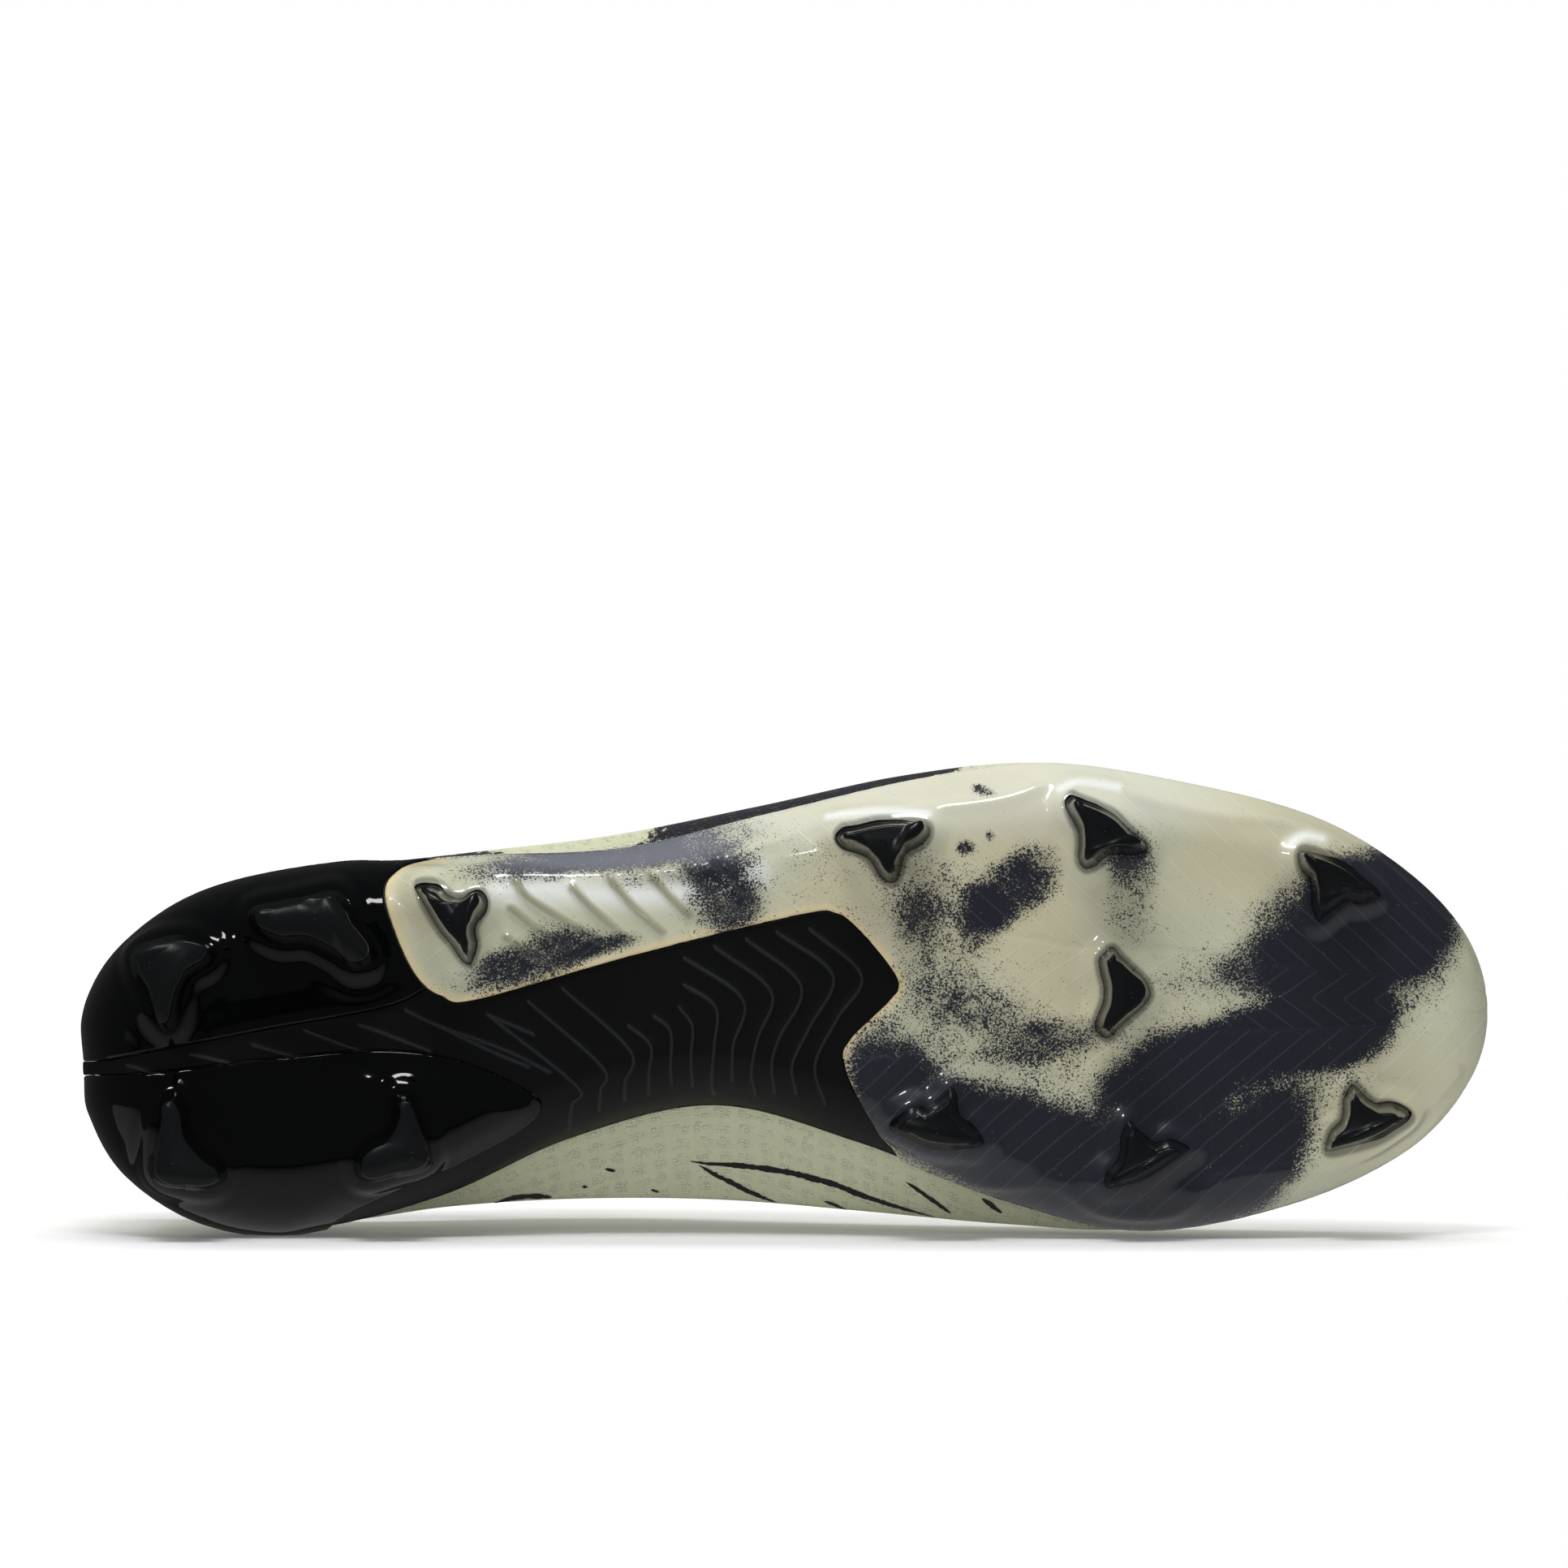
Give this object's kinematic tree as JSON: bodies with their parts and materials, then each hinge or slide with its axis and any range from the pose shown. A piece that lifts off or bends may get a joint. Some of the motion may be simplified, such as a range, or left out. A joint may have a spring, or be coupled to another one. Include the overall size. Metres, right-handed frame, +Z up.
{
  "type": "soccer cleat",
  "caption": "Right-foot firm-ground soccer cleat with a knitted upper, a milky printed forefoot plate, a black arch and heel, and three-armed studs.",
  "frame": {"origin": "middle of the footprint, on the ground under the studs", "axes": "+X from heel to toe, +Y towards the medial side, +Z up"},
  "size_m": [0.283, 0.0944, 0.11],
  "materials": {
    "clear_plastic": "gloss, milky translucent",
    "print": "matt printed film",
    "black_gloss": "polished",
    "black_matte": "fine matt grain",
    "stud_plastic": "polished, smoky at the flanks",
    "knit": "knitted",
    "stay": "satin film",
    "board": "pressed fibre",
    "foam": "open foam",
    "lining": "brushed textile",
    "stiffener": "pressed sheet",
    "tip": "heat-shrunk sleeve",
    "webbing": "woven tape"
  },
  "bodies": {
    "shoe": {"forefoot_plate": "clear_plastic", "print_film": "print", "arch_shank": "black_matte", "heel_pod_lateral": "black_gloss", "heel_pod_medial": "black_gloss", "lasting_board": "board", "insole_foam": "foam", "insole_cover": "lining", "knit_upper": "knit", "eyestay_lateral": "stay", "eyestay_medial": "stay", "heel_counter": "stiffener", "toe_puff": "stiffener", "collar_pad_lateral": "foam", "collar_pad_medial": "foam", "heel_lining": "lining", "collar_roll": "knit", "tongue": "knit", "lace": "knit", "lace_tip_lateral": "tip", "lace_tip_medial": "tip", "pull_tab_patch": "webbing", "stud_forefoot_lateral_rear": "stud_plastic", "stud_forefoot_lateral_middle": "stud_plastic", "stud_forefoot_lateral_front": "stud_plastic", "stud_forefoot_centre": "stud_plastic", "stud_forefoot_medial_rear": "stud_plastic", "stud_forefoot_medial_middle": "stud_plastic", "stud_forefoot_medial_front": "stud_plastic", "stud_midfoot_lateral": "stud_plastic", "stud_heel_lateral_rear": "stud_plastic", "stud_heel_lateral_front": "stud_plastic", "stud_heel_medial_rear": "stud_plastic", "stud_heel_medial_front": "stud_plastic"},
    "pull_tab": {"heel_pull_tab": "webbing"}
  },
  "joints": [
    {"name": "pull_tab_fold", "type": "hinge", "parent": "shoe", "child": "pull_tab", "pos_m": [-0.1366, 0.00505, 0.0878], "axis": [0, -1, 0], "range_deg": [0, 85], "stiffness_Nm_per_rad": 0.02}
  ]
}
